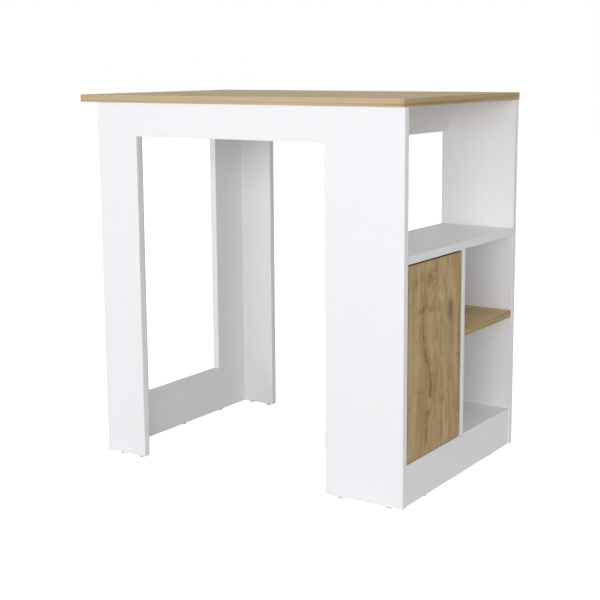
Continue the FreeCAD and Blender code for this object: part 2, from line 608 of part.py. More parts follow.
def worktop_bracket(at, outward, board):
    """Corner block under the worktop with two cheeks, screwed to a rail and up into the worktop."""
    along = outward.cross(Z)
    start = at - along * (BRACKET_WIDTH / 2)

    def profile(points, origin, width):
        wire = Part.makePolygon([origin + outward * out - Z * down for out, down in points + points[:1]])
        return Part.Face(wire).extrude(along * width)

    leg = BRACKET_LEG
    wall = BRACKET_WALL
    angle = [(0, 0), (leg, 0), (leg, wall), (wall, wall), (wall, leg), (0, leg)]
    bracket = profile(angle, start, BRACKET_WIDTH)
    for origin in (start, start + along * (BRACKET_WIDTH - BRACKET_CHEEK)):
        bracket = bracket.fuse(profile([(0, 0), (leg, 0), (0, leg)], origin, BRACKET_CHEEK))
    add("worktop_brackets", bracket.removeSplitter())
    hole = (leg + wall) / 2
    side_seat = at + outward * wall - Z * hole
    top_seat = at + outward * hole - Z * wall
    screw("bracket_screws", side_seat, outward * -1, SCREW_LENGTH, SCREW_RADIUS, ("worktop_brackets", board))
    screw("bracket_screws", top_seat, Z, SCREW_LENGTH, SCREW_RADIUS, ("worktop_brackets", "worktop"))


def make_brackets():
    """Two brackets on each apron, and one on the rail at either end of the knee space."""
    for x in (X_LEFT + BRACKET_FROM_KNEE_END, X_CABINET - BRACKET_FROM_KNEE_END):
        worktop_bracket(Vector(x, Y_INNER_FRONT, Z_TOP), Y, "front_apron")
        worktop_bracket(Vector(x, Y_INNER_BACK, Z_TOP), Y * -1, "rear_apron")
    worktop_bracket(Vector(X_END_INNER, 0, Z_TOP), X, "left_upper_rail")
    worktop_bracket(Vector(X_CABINET, 0, Z_TOP), X * -1, "cabinet_top_rail")


def make_glides():
    """Nail-in glides under every board that reaches the floor."""
    half = BOARD / 2
    end_x = X_LEFT + half
    cabinet_x = (X_CABINET + X_RIGHT) / 2
    spots = [("left_lower_rail", end_x, (Y_FRONT_GAP + Y_BACK_GAP) / 2)]
    spots.append(("front_end_panel", end_x, Y_FRONT_GAP - END_PANEL_GLIDE_FROM_EDGE))
    spots.append(("rear_end_panel", end_x, Y_BACK_GAP + END_PANEL_GLIDE_FROM_EDGE))
    legs = {
        "front_left_leg": (FRONT_LEG_WIDTH, Y_FRONT + half),
        "rear_left_leg": (REAR_LEG_WIDTH, Y_BACK - half),
    }
    for name, (width, y) in legs.items():
        outer = X_LEFT + width - LEG_GLIDE_FROM_EDGE
        spots += [(name, x, y) for x in (outer - LEG_GLIDE_PITCH, outer)]
    for name, y in (("front_side_panel", Y_FRONT + half), ("rear_side_panel", Y_BACK - half)):
        spots += [(name, x, y) for x in spread(cabinet_x, PANEL_GLIDE_PITCH)]
    spots += [("plinth", X_PLINTH - half, y) for y in spread(0.0, PLINTH_GLIDE_PITCH)]
    for name, x, y in spots:
        foot = Part.makeCone(GLIDE_FOOT_RADIUS, GLIDE_RADIUS, GLIDE_HEIGHT, Vector(x, y, 0), Z)
        nail_start = Vector(x, y, Z_FOOT)
        nail = rod(GLIDE_NAIL_RADIUS, GLIDE_NAIL_LENGTH, nail_start, Z)
        add("floor_glides", foot.fuse(nail).removeSplitter())
        drill(name, rod(GLIDE_NAIL_RADIUS + FIT, GLIDE_NAIL_LENGTH + END_ROOM, nail_start, Z))


def drilled(solid, tools):
    """Solid with the holes that reach it cut out."""
    near = [tool for tool in tools if tool.BoundBox.intersect(solid.BoundBox)]
    return solid.cut(near) if near else solid


def export():
    """Write one file for each piece or group of like pieces."""
    os.makedirs("parts", exist_ok=True)
    for name, solids in pieces.items():
        cut = [drilled(solid, holes.get(name, [])) for solid in solids]
        whole = [solid for shape in cut for solid in shape.Solids]
        if len(whole) != len(solids) or not all(solid.isValid() for solid in whole):
            raise ValueError("bad solid in " + name)
        shape = whole[0] if len(whole) == 1 else Part.makeCompound(whole)
        shape.exportStep("parts/" + name + ".step")
        print(name, len(whole), round(shape.Volume))


make_worktop()
make_left_end()
make_aprons()
make_cabinet()
make_bay_shelf()
make_door()
make_hinges()
make_latch()
make_brackets()
make_glides()
fix_frame()
fix_cabinet()
export()
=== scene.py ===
"""Looks of a kitchen island in white melamine and oak laminate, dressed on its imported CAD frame."""

import math

import bpy
import numpy as np
from mathutils import Euler, Matrix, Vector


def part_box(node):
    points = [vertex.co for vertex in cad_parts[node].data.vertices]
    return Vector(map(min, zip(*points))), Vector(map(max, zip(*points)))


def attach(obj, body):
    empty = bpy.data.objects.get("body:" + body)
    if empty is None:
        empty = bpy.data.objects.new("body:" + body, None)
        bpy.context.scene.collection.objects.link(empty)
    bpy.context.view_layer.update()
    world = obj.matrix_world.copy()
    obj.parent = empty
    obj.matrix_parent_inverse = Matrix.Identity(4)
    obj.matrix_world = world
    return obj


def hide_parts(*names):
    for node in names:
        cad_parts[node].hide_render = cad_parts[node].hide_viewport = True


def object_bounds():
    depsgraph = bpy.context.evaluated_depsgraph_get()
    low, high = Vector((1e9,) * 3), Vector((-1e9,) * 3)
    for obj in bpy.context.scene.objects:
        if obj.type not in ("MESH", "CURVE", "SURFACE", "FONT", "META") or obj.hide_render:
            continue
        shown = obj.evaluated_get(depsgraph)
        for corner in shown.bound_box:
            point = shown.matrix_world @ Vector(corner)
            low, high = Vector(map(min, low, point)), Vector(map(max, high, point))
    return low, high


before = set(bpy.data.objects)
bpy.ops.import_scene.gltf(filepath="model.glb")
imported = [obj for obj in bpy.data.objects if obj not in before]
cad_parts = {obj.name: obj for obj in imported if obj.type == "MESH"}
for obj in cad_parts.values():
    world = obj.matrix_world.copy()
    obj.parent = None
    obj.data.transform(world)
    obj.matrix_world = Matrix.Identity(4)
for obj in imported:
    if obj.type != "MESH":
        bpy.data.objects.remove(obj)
CAD_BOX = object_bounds()

bl_info = {
    "name": "Kitchen Island Finish",
    "version": (1, 0, 0),
    "blender": (4, 5, 0),
    "location": "View3D > Sidebar > Island",
    "description": "Finishes, edge bands and fittings of a kitchen island in white board and oak laminate",
    "category": "Object",
}

MM = 0.001
AXES = "xyz"
PLAIN_WHITE = (1.0, 1.0, 1.0, 1.0)

# White boards, each with those of its narrow faces that are exposed and carry a glued band
WHITE_BOARDS = {
    "front_left_leg": ("+x", "-x"), "rear_left_leg": ("+x", "-x"), "front_end_panel": ("+y",),
    "rear_end_panel": ("-y",), "left_lower_rail": ("+z",), "left_upper_rail": ("-z",), "front_apron": ("-z",),
    "rear_apron": ("-z",), "front_side_panel": ("+x", "-x"), "rear_side_panel": ("+x", "-x"),
    "mid_shelf": ("+x",), "cabinet_divider": ("+x",), "cabinet_top_rail": ("-z",), "cabinet_bottom": (),
    "plinth": (),
}

# Screws that are drawn with a cross recess, with the body that carries each group
SCREW_GROUPS = {
    "bracket_screws": "carcass", "plate_screws": "carcass", "arm_screws": "carcass",
    "latch_screws": "carcass", "cup_screws": "door",
}


def colour(name, description, default):
    """Linear colour that a user can change."""
    return bpy.props.FloatVectorProperty(
        name=name, description=description, default=default, subtype="COLOR", size=3, min=0.0, max=1.0)


def length(name, description, default):
    """Length in metres that a user can change."""
    return bpy.props.FloatProperty(
        name=name, description=description, default=default, unit="LENGTH", precision=5)


def angle(name, description, degrees):
    """Angle that a user can change."""
    return bpy.props.FloatProperty(
        name=name, description=description, default=math.radians(degrees), subtype="ANGLE")


def power(name, description, default):
    """Power of a lamp that a user can change."""
    return bpy.props.FloatProperty(name=name, description=description, default=default, unit="POWER", min=0.0)


def share(name, description, default):
    """Number from 0 to 1 that a user can change."""
    return bpy.props.FloatProperty(
        name=name, description=description, default=default, subtype="FACTOR", min=0.0, max=1.0)


class IslandColours(bpy.types.PropertyGroup):
    """Colours of the finishes."""

    white: colour("White melamine", "Faces of the white boards", (0.852, 0.860, 0.881))
    white_band: colour("White band", "Glued bands on the white boards' edges", (0.843, 0.850, 0.868))
    hardboard: colour("Hardboard", "Painted hardboard back", (0.80, 0.80, 0.80))
    oak_pale: colour("Oak, pale", "Pale stripes of the oak laminate", (0.576, 0.418, 0.238))
    oak_mid: colour("Oak, middle", "Middle tone of the oak laminate", (0.500, 0.356, 0.183))
    oak_dark: colour("Oak, dark", "Dark stripes of the oak laminate", (0.348, 0.229, 0.077))
    oak_cloud: colour("Oak, clouds", "Smoky patches of the oak laminate", (0.334, 0.223, 0.066))
    # Also the tone of the painted shade on the door band's top edge, in the reveal over the closed door
    oak_crack_and_painted_shade: colour("Oak, cracks", "Cracks and hearts of the knots", (0.122, 0.061, 0.003))
    # Also the tone of painted light on the worktop's band, whose long front, facing the lamps, is painted
    # paler towards it
    oak_wash_and_painted_light: colour("Oak, wash", "Chalky wash over the oak laminate", (0.62, 0.60, 0.57))
    beech: colour("Beech", "Raw dowels", (0.62, 0.45, 0.27))
    zinc: colour("Zinc plating", "Screws, bolts, pegs and nails", (0.62, 0.63, 0.65))
    nickel: colour("Nickel plating", "Hinge cups, arms and pins", (0.66, 0.64, 0.61))
    casting: colour("Zinc casting", "Cam locks and hinge plates", (0.50, 0.51, 0.53))
    moulded_white: colour("White plastic", "Corner brackets and latch holder", (0.80, 0.80, 0.79))
    moulded_grey: colour("Grey plastic", "Latch plunger", (0.17, 0.18, 0.19))
    glide: colour("Glide plastic", "Feet under the boards", (0.50, 0.50, 0.51))


class IslandSizes(bpy.types.PropertyGroup):
    """Sizes of the pieces that the looks add."""

    band_thickness: length("Band thickness", "How deep a glued band sits in its board", 0.8 * MM)
    band_proud: length("Band proud", "How far a band stands off its board", 0.04 * MM)
    band_radius: length("Band radius", "Rounding of a band along both its arrises", 0.8 * MM)
    band_lap: length("Band lap", "How far a band reaches past its rounding onto the board's face", 0.3 * MM)
    recess_radius: length("Recess radius", "Reach of the cross recess in a screw head", 2.1 * MM)
    recess_width: length("Recess width", "Width of one arm of the cross recess", 0.9 * MM)
    recess_depth: length("Recess depth", "Depth of the cross recess", 1.4 * MM)
    dome: length("Head dome", "Rise of a screw head over its rim", 0.7 * MM)


class IslandStage(bpy.types.PropertyGroup):
    """Camera, lamps and floor."""

    camera_place: bpy.props.FloatVectorProperty(
        name="Camera place", description="Where the camera stands", default=(1.70681, -2.62862, 0.97248),
        subtype="TRANSLATION", unit="LENGTH", size=3)
    camera_heading: angle("Camera heading", "Turn of the view from +Y towards -X", 32.132)
    camera_dip: angle("Camera dip", "Angle of the view below the horizon", 9.443)
    camera_roll: angle("Camera roll", "Turn of the camera about its own line of sight", -0.244)
    camera_lens: bpy.props.FloatProperty(
        name="Lens", description="Focal length on a 36 mm sensor", default=75.62, unit="CAMERA")
    camera_shift: bpy.props.FloatVectorProperty(
        name="Lens shift", description="Shift of the picture across and up, in widths",
        default=(-0.035, -0.045), size=2)
    sky: share("Sky", "Strength of the even light from all round", 0.04)
    sky_back: share("Sky behind", "How much stronger the sky is behind the island than over it", 0.95)
    left_lamp: power("Left lamp", "Soft lamp left of the closed long front", 236.0)
    front_lamp: power("Front lamp", "Soft low lamp near the camera's side of the long front", 308.0)
    high_lamp: power("High lamp", "Soft lamp high over the cabinet's end", 184.0)
    lamp_distance: length("Lamp distance", "How far the lamps stand from the island's middle", 8.3)
    lamp_side: length("Lamp side", "Width of each lamp, and the most that it is tall", 5.7)
    floor_radius: length("Floor radius", "Reach of the round floor", 14.0)
    floor_glow: share("Floor glow", "White that the floor shows to the camera on top of its own light", 0.86)
    floor_tone: share("Floor tone", "How much of the light the floor gives back", 0.85)


def colours():
    """The user's colours."""
    return bpy.context.scene.island_colours


def sizes():
    """The user's sizes."""
    return bpy.context.scene.island_sizes


def stage():
    """The user's camera, lamps and floor."""
    return bpy.context.scene.island_stage


class Nodes:
    """Node tree under construction, with short calls for the nodes that a pattern needs."""

    def __init__(self, tree):
        self.tree = tree

    def put(self, socket, value):
        """Link an output to a socket, or set the socket to a constant; None leaves the socket as it is."""
        if isinstance(value, bpy.types.NodeSocket):
            self.tree.links.new(value, socket)
        elif value is not None:
            socket.default_value = value

    def add(self, kind, inputs=(), **settings):
        """Add a node, set its properties, and link or set its inputs in order."""
        made = self.tree.nodes.new("ShaderNode" + kind)
        for key, value in settings.items():
            setattr(made, key, value)
        for socket, value in zip(made.inputs, inputs):
            self.put(socket, value)
        return made

    def math(self, operation, *values, **settings):
        """Sum, product or another operation on one to three values."""
        return self.add("Math", values, operation=operation, **settings).outputs[0]

    def hypot(self, first, second):
        """Length of two offsets at right angles."""
        squares = [self.math("MULTIPLY", offset, offset) for offset in (first, second)]
        return self.math("SQRT", self.math("ADD", *squares))

    def coordinates(self, space):
        """Three coordinates in metres: the frame's own for Object, or those of the piece's own map for UV."""
        place = self.add("TexCoord").outputs[space]
        return tuple(self.add("SeparateXYZ", (place,)).outputs)

    def noise(self, place, scale, detail=2.0, roughness=0.5):
        """Soft noise from 0 to 1; scale gives one frequency for each of the three coordinates, per metre."""
        stretched = [self.math("MULTIPLY", value, rate) for value, rate in zip(place, scale)]
        vector = self.add("CombineXYZ", stretched).outputs[0]
        return self.add("TexNoise", (vector, None, 1.0, detail, roughness)).outputs[0]

    def rise(self, value, low, high, start=0.0, end=1.0):
        """Smooth step from the start at low to the end at high."""
        inputs = (value, low, high, start, end)
        return self.add("MapRange", inputs, interpolation_type="SMOOTHSTEP").outputs[0]

    def fall(self, value, low, high):
        """Smooth step from 1 at low to 0 at high."""
        return self.rise(value, low, high, start=1.0, end=0.0)

    def curve(self, value, points, reach=(0.0, 1.0)):
        """Smooth curve through (place, height) points, whose heights lie within a reach."""
        start, low = points[0][0], reach[0]
        span, tall = points[-1][0] - start, reach[1] - low
        made = self.add("FloatCurve")
        line = made.mapping.curves[0].points
        for _ in points[2:]:
            line.new(0.5, 0.5)
        for point, (place, height) in zip(line, points):
            point.location = ((place - start) / span, (height - low) / tall)
        made.mapping.update()
        offset = self.math("SUBTRACT", value, start)
        self.put(made.inputs["Value"], self.math("DIVIDE", offset, span, use_clamp=True))
        return self.math("MULTIPLY_ADD", made.outputs[0], tall, low)

    def mix(self, factor, first, second):
        """Colour between two colours, which are the node's seventh and eighth inputs."""
        made = self.add("Mix", (factor,), data_type="RGBA")
        for socket, value in zip(made.inputs[6:8], (first, second)):
            self.put(socket, value if isinstance(value, bpy.types.NodeSocket) else (*value, 1.0))
        return made.outputs[2]

    def ramp(self, value, stops):
        """Colours at places from 0 to 1, blended between them."""
        made = self.add("ValToRGB", (value,))
        line = made.color_ramp.elements
        for _ in stops[2:]:
            line.new(0.5)
        for element, (place, tone) in zip(line, stops):
            element.position = place
            element.color = (*tone, 1.0)
        return made.outputs[0]


class Finish(Nodes):
    """Principled material under construction."""

    def __init__(self, name, metallic=0.0, specular=0.5):
        self.material = bpy.data.materials.new(name)
        self.material.use_nodes = True
        super().__init__(self.material.node_tree)
        self.shader = self.tree.nodes["Principled BSDF"]
        self.give("Metallic", metallic)
        self.give("Specular IOR Level", specular)

    def give(self, socket, value):
        """Feed one socket of the shader."""
        self.put(self.shader.inputs[socket], value)

    def tint(self, factor, tone, dark):
        """Colour from a darker share of a tone, where the factor is 0, to the tone itself, where it is 1."""
        darker = tuple(value * dark for value in tone)
        self.give("Base Color", self.mix(factor, darker, tone))

    def gloss(self, pattern, least, spread):
        """Roughness that grows from the least by a spread, as a pattern grows from 0 to 1."""
        self.give("Roughness", self.math("MULTIPLY_ADD", pattern, spread, least))

    def relief(self, height, unit, strength):
        """Relief of the surface, with the height of one unit in metres."""
        made = self.add("Bump")
        self.put(made.inputs["Strength"], strength)
        self.put(made.inputs["Distance"], unit)
        self.put(made.inputs["Height"], height)
        self.give("Normal", made.outputs[0])


def even(rate):
    """One frequency for all three coordinates."""
    return (rate,) * 3


def white_melamine(name, tone):
    """White melamine: a faint mottle of tone, and the fine pebble of a pressed surface."""
    finish = Finish(name)
    place = finish.coordinates("Object")
    mottle = finish.noise(place, even(40.0), detail=3.0)
    pebble = finish.noise(place, even(900.0), detail=1.0)
    finish.tint(finish.rise(mottle, 0.3, 0.7), tone, dark=0.992)
    finish.gloss(pebble, least=0.40, spread=0.14)
    finish.relief(pebble, unit=0.06 * MM, strength=0.5)
    return finish.material


def white_hardboard():
    """Painted hardboard: a coarser, duller skin with a faint screen of fibres."""
    finish = Finish("white hardboard paint")
    fibres = finish.noise(finish.coordinates("Object"), (300.0, 300.0, 120.0), detail=4.0, roughness=0.7)
    finish.tint(fibres, colours().hardboard, dark=0.94)
    finish.gloss(fibres, least=0.5, spread=0.2)
    finish.relief(fibres, unit=0.1 * MM, strength=0.4)
    return finish.material


def beech():
    """Raw beech: pale wood with short dark flecks."""
    finish = Finish("raw beech")
    fleck = finish.noise(finish.coordinates("Object"), even(420.0), detail=3.0)
    finish.tint(finish.fall(fleck, 0.4, 0.65), colours().beech, dark=0.72)
    finish.gloss(fleck, least=0.6, spread=0.2)
    finish.relief(fleck, unit=0.1 * MM, strength=0.4)
    return finish.material


def plated(name, tone, roughness, mottle_rate):
    """Plated or cast metal: a mottle of gloss and tone and a fine grain in the relief."""
    finish = Finish(name, metallic=1.0)
    place = finish.coordinates("Object")
    mottle = finish.noise(place, even(mottle_rate), detail=3.0)
    grain = finish.noise(place, even(2600.0), detail=1.0)
    finish.tint(mottle, tone, dark=0.82)
    finish.gloss(mottle, least=roughness, spread=0.18)
    finish.relief(grain, unit=0.02 * MM, strength=0.4)
    return finish.material


def moulded(name, tone, roughness):
    """Moulded plastic: an even colour with a faint flow mottle and a spark-eroded grain."""
    finish = Finish(name)
    place = finish.coordinates("Object")
    flow = finish.noise(place, even(60.0), detail=2.0)
    grain = finish.noise(place, even(1400.0), detail=2.0)
    finish.tint(flow, tone, dark=0.95)
    finish.gloss(grain, least=roughness, spread=0.2)
    finish.relief(grain, unit=0.04 * MM, strength=0.4)
    return finish.material


class Traits:
    """Named values, of which a class gives the usual ones."""

    def __init__(self, **values):
        vars(self).update(values)


class Knot(Traits):
    """Knot in the oak print: its middle across and along the grain, its half sizes and its darkness."""


class Mark(Traits):
    """Crack or fleck in the oak print: its line and its darkness as (run, value) points, and its half width.

    The line runs along the grain, or across it where crosswise is set.
    """

    crosswise = False


class Figure(Traits):
    """What tells one oak print from another: a seed, which shifts its pattern, its heart line and the rest.

    paleness, wash and stain are numbers, or (along, value) points where they drift along the grain. wash goes
    towards a chalky tone; where paleness and wash drift round the worktop's band, they are painted light and
    shade, paler on the side that faces the lamps. stain is painted shade that goes towards the tone of the
    cracks, and painted_shade_edge is where it begins across the grain. clouds is the strength of smoky
    patches, and lines that of fine lines along the grain. taper is how fast the rings lie deeper along the
    grain, and so how close the arches stand. core is the depth of a board's middle plane, behind which lies
    another print, calmer and with no knots or marks.
    """

    paleness = 0.0
    clouds = 0.6
    lines = 0.0
    wash_and_painted_light = 0.0
    painted_shade = None
    painted_shade_edge = 0.0
    taper = 0.09
    core = None
    knots = ()
    marks = ()


# Noise patterns of the oak print: frequencies across the grain, through the board and along the grain, per
# metre, then the detail of the noise and its roughness, where that isn't the usual one
SLOW_WAVE = ((7.0, 7.0, 2.6), 2.0)
QUICK_WAVE = ((26.0, 26.0, 12.0), 2.0)
FINE_RINGS = ((150.0, 20.0, 5.0), 3.0, 0.6)
BROAD_RINGS = ((34.0, 6.0, 1.6), 3.0, 0.6)
STREAKS = ((75.0, 75.0, 7.0), 4.0, 0.65)
FLECKS = ((120.0, 120.0, 45.0), 3.0, 0.6)
FIBRES = ((650.0, 650.0, 16.0), 2.0)
CLOUDS = ((18.0, 18.0, 7.0), 4.0, 0.65)
PORES = ((1500.0, 1500.0, 42.0), 0.0)
KNOT_EDGE = ((190.0, 190.0, 60.0), 2.0)
MARK_JITTER = ((45.0, 45.0, 90.0), 3.0)
MARK_WEAR = ((80.0, 80.0, 80.0), 3.0)

# Shares of the fine and broad rings, the streaks, flecks and fibres in the tone of the oak print, and the
# tones of its dark, middle and pale colours
TONE_SHARES = (0.22, 0.26, 0.26, 0.16, 0.10)
TONE_STOPS = (0.40, 0.48, 0.56)

# Where the noise of clouds, pores and wear begins to show and where it shows in full
CLOUD_EDGES = (0.44, 0.68)
PORE_EDGES = (0.60, 0.78)
WEAR_EDGES = (0.35, 0.60)

# How dark a pore is printed, and how deep it is pressed, in heights of a fibre
PORE_INK = 0.35
PORE_DEPTH = 0.8

# How far the slow and the quick wave bend the grain aside, and how far the slow one lifts the rings
SLOW_BEND = 34.0 * MM
QUICK_BEND = 10.0 * MM
RING_LIFT = 60.0 * MM

# How far before the origin the oak's rings start to lie deeper, along the grain
RING_FOOT = 0.778

# Backs of the oak boards: how far off their heart line lies, and the strength of their clouds and fine lines
BACK_HEART = 0.5
BACK_CLOUDS = 0.15
BACK_LINES = 0.25

# Half widths of the change from a board's front print to its back one, and of the edge of the painted shade
# on a band's flat
CORE_BLEND = 1.0 * MM
PAINTED_SHADE_BLEND = 0.3 * MM

# How much of a glued band's length counts as length along the grain, so that its figure is drawn out
BAND_STRETCH = 0.06


class Oak(Finish):
    """Oak laminate: growth rings cut aslant, with fibres and pores along the grain, which the knots bend.

    grain gives the coordinates across the grain, through the board and along the grain, in metres.
    """

    def __init__(self, name, grain, figure, roughness=0.42, specular=0.2):
        super().__init__(name, specular=specular)
        self.figure = figure
        self.across, self.depth, self.along = grain(self)
        self.front, self.heart, self.clouds, self.lines = 1.0, figure.heart, figure.clouds, figure.lines
        if figure.core is not None:
            self.turn_back()
        shifted = self.math("ADD", self.across, figure.seed)
        self.plain = (shifted, self.depth, self.along)
        self.slow = self.wave(SLOW_WAVE)
        quick = self.math("MULTIPLY", self.wave(QUICK_WAVE), QUICK_BEND)
        self.bend = self.math("MULTIPLY_ADD", self.slow, SLOW_BEND, quick)
        self.spots = []
        self.add_knots()
        self.add_marks()
        self.place = (self.math("ADD", shifted, self.bend), self.depth, self.along)
        fibre = self.noise(self.place, *FIBRES)
        pore = self.rise(self.noise(self.place, *PORES), *PORE_EDGES)
        # The figure's painted shade, where it has one, goes over the print
        shade = self.with_painted_shade(self.shade(self.tone(fibre), pore))
        for spot in self.spots:
            shade = self.mix(self.math("MULTIPLY", spot, self.front), shade, colours().oak_crack_and_painted_shade)
        self.give("Base Color", shade)
        self.gloss(fibre, least=roughness, spread=0.16)
        height = self.math("SUBTRACT", fibre, self.math("MULTIPLY", pore, PORE_DEPTH))
        self.relief(height, unit=0.12 * MM, strength=0.35)

    def turn_back(self):
        """Change to another print behind the board's core: off the heart line, calmer and a metre deeper."""
        core = self.figure.core
        self.front = self.rise(self.depth, core - CORE_BLEND, core + CORE_BLEND)
        back = self.math("SUBTRACT", 1.0, self.front)
        self.depth = self.math("ADD", self.depth, back)
        self.heart = self.math("MULTIPLY_ADD", back, BACK_HEART, self.heart)
        self.clouds = self.math("MULTIPLY_ADD", back, BACK_CLOUDS - self.clouds, self.clouds)
        self.lines = self.math("MULTIPLY_ADD", back, BACK_LINES - self.lines, self.lines)

    def wave(self, pattern):
        """Noise from -0.5 to 0.5 that nothing bends."""
        return self.math("SUBTRACT", self.noise(self.plain, *pattern), 0.5)

    def drifting(self, value, **reach):
        """A number as it is, or a smooth curve through (along, value) points, with values within a reach."""
        return self.curve(self.along, value, **reach) if isinstance(value, tuple) else value

    def add_knots(self):
        """Draw the grain aside round each knot, and keep the knot's ragged heart as a dark spot.

        The distance from a knot's middle is the length of two offsets over its half sizes, so 1 is its rim.
        """
        if not self.figure.knots:
            return
        draw, draw_reach = 0.8, 3.0
        rag, heart_edges = 1.2, (0.5, 2.1)
        ragged = self.noise(self.plain, *KNOT_EDGE)
        for knot in self.figure.knots:
            off = self.math("SUBTRACT", self.across, knot.across)
            up = self.math("SUBTRACT", self.along, knot.along)
            distance = self.hypot(
                self.math("DIVIDE", off, knot.half_width), self.math("DIVIDE", up, knot.half_length))
            pull = self.math("MULTIPLY", self.fall(distance, 0.0, draw_reach), draw)
            self.bend = self.math("SUBTRACT", self.bend, self.math("MULTIPLY", off, pull))
            heart = self.fall(self.math("MULTIPLY_ADD", ragged, rag, distance), *heart_edges)
            self.spots.append(self.math("MULTIPLY", heart, knot.darkness))

    def add_marks(self):
        """Keep each mark as a dark spot, with a jitter in its line and worn stretches."""
        if not self.figure.marks:
            return
        jitter = self.wave(MARK_JITTER)
        wear = self.rise(self.noise(self.plain, *MARK_WEAR), *WEAR_EDGES)
        for mark in self.figure.marks:
            self.spots.append(self.mark_darkness(mark, jitter, wear))

    def mark_darkness(self, mark, jitter, wear):
        """Darkness of a mark: half a core and half a wider halo, which fade on both sides of a curve."""
        halo_width = 4.0 * mark.half_width
        worn_share = 0.4
        run, place = (self.across, self.along) if mark.crosswise else (self.along, self.across)
        heights = [height for _, height in mark.line]
        reach = (min(heights) - mark.half_width, max(heights) + mark.half_width)
        off = self.math("SUBTRACT", place, self.curve(run, mark.line, reach))
        off = self.math("ABSOLUTE", self.math("MULTIPLY_ADD", jitter, halo_width, off))
        core = self.fall(off, 0.0, mark.half_width)
        halo = self.fall(off, 0.0, halo_width)
        line = self.math("MULTIPLY_ADD", core, 0.5, self.math("MULTIPLY", halo, 0.5))
        line = self.math("MULTIPLY", line, self.math("MULTIPLY_ADD", wear, 1.0 - worn_share, worn_share))
        return self.math("MULTIPLY", line, self.curve(run, mark.darkness))

    def ring_radius(self):
        """Radius of the growth ring: the length of two offsets from the tree's axis.

        One lies across the grain from the heart line. The other is a depth that grows along the grain, so the
        rings show as arches over the heart line and as stripes beside it.
        """
        aside = self.math("SUBTRACT", self.math("ADD", self.across, self.bend), self.heart)
        below = self.math("MULTIPLY", self.math("ADD", self.along, RING_FOOT), self.figure.taper)
        return self.hypot(aside, self.math("MULTIPLY_ADD", self.slow, RING_LIFT, below))

    def tone(self, fibre):
        """Tone of the print: the figure's paleness, shares of the patterns, and fine rings again as lines."""
        rings = (self.ring_radius(), self.depth, self.along)
        fine = self.noise(rings, *FINE_RINGS)
        broad = self.noise(rings, *BROAD_RINGS)
        streak = self.noise(self.place, *STREAKS)
        fleck = self.noise(self.place, *FLECKS)
        tone = self.drifting(self.figure.paleness, reach=(-0.2, 0.2))
        for pattern, weight in zip((fine, broad, streak, fleck, fibre), TONE_SHARES):
            tone = self.math("MULTIPLY_ADD", pattern, weight, tone)
        return self.math("MULTIPLY_ADD", self.math("SUBTRACT", fine, 0.5), self.lines, tone)

    def shade(self, tone, pore):
        """Colour of the print: three oak colours by its tone, under clouds, dark pores and a chalky veil,
        which is also painted light where it drifts round a band.
        """
        tones = colours()
        stops = tuple(zip(TONE_STOPS, (tones.oak_dark, tones.oak_mid, tones.oak_pale)))
        cloud = self.rise(self.noise(self.place, *CLOUDS), *CLOUD_EDGES)
        shade = self.ramp(tone, stops)
        shade = self.mix(self.math("MULTIPLY", cloud, self.clouds), shade, tones.oak_cloud)
        shade = self.mix(self.math("MULTIPLY", pore, PORE_INK), shade, tones.oak_dark)
        return self.mix(self.drifting(self.figure.wash_and_painted_light), shade, tones.oak_wash_and_painted_light)

    def with_painted_shade(self, shade):
        """Colour with the figure's painted shade, if it has one: darker towards the tone of the cracks, from
        the shade's edge on across the grain.
        """
        figure = self.figure
        if figure.painted_shade is None:
            return shade
        past_edge = self.rise(self.across, figure.painted_shade_edge - PAINTED_SHADE_BLEND, figure.painted_shade_edge + PAINTED_SHADE_BLEND)
        painted_shade = self.math("MULTIPLY", self.drifting(figure.painted_shade), past_edge)
        return self.mix(painted_shade, shade, colours().oak_crack_and_painted_shade)


def grain_along_x(finish):
    """Coordinates of a board that lies flat, with its grain along the island."""
    x, y, z = finish.coordinates("Object")
    return y, z, x


def grain_along_z(finish):
    """Coordinates of a board that closes the island's end, with upright grain."""
    x, y, z = finish.coordinates("Object")
    return y, x, z


def grain_along_band(finish):
    """Coordinates of a glued band on its own map, with its grain drawn out along it."""
    along, across, _ = finish.coordinates("UV")
    return across, 0.0, finish.math("MULTIPLY", along, BAND_STRETCH)


def round_band(*points):
    """Points of (metres round a band, value), as the oak's figure counts them along the grain."""
    return tuple((run * BAND_STRETCH, value) for run, value in points)


def core_of(node, axis):
    """Middle plane of a board, square to one axis."""
    low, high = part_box(node)
    return (low[axis] + high[axis]) / 2


# Angle between two faces past which the edge between them is shaded sharp
SHARP_ANGLE = math.radians(40.0)

# Points on a quarter turn of a band's arris and of a banded board's corner, and that corner's least radius
ARRIS_POINTS = 7
CORNER_POINTS = 6
LEAST_RADIUS = 0.02 * MM

# Distance within which points of a CAD mesh count as one
WELD = 0.01 * MM

# Share of a screw's largest radius past which a point lies on its head's rim
RIM_SHARE = 0.95


def grid_quads(rows, columns, ring):
    """Quads of a grid of rows by columns; the columns close on themselves, and so do the rows of a ring."""
    last = rows if ring else rows - 1
    row = np.arange(last)[:, None] * columns
    column = np.arange(columns)[None, :]
    after = (row + columns) % (rows * columns)
    beside = (column + 1) % columns
    corners = (row + column, row + beside, after + beside, after + column)
    return np.stack(np.broadcast_arrays(*corners), axis=-1).reshape(-1, 4)


def grid_map(along, across):
    """Map of a grid: each row's place along it with each column's place across it."""
    return np.stack(np.broadcast_arrays(along[:, None], across[None, :]), axis=-1).reshape(-1, 2)


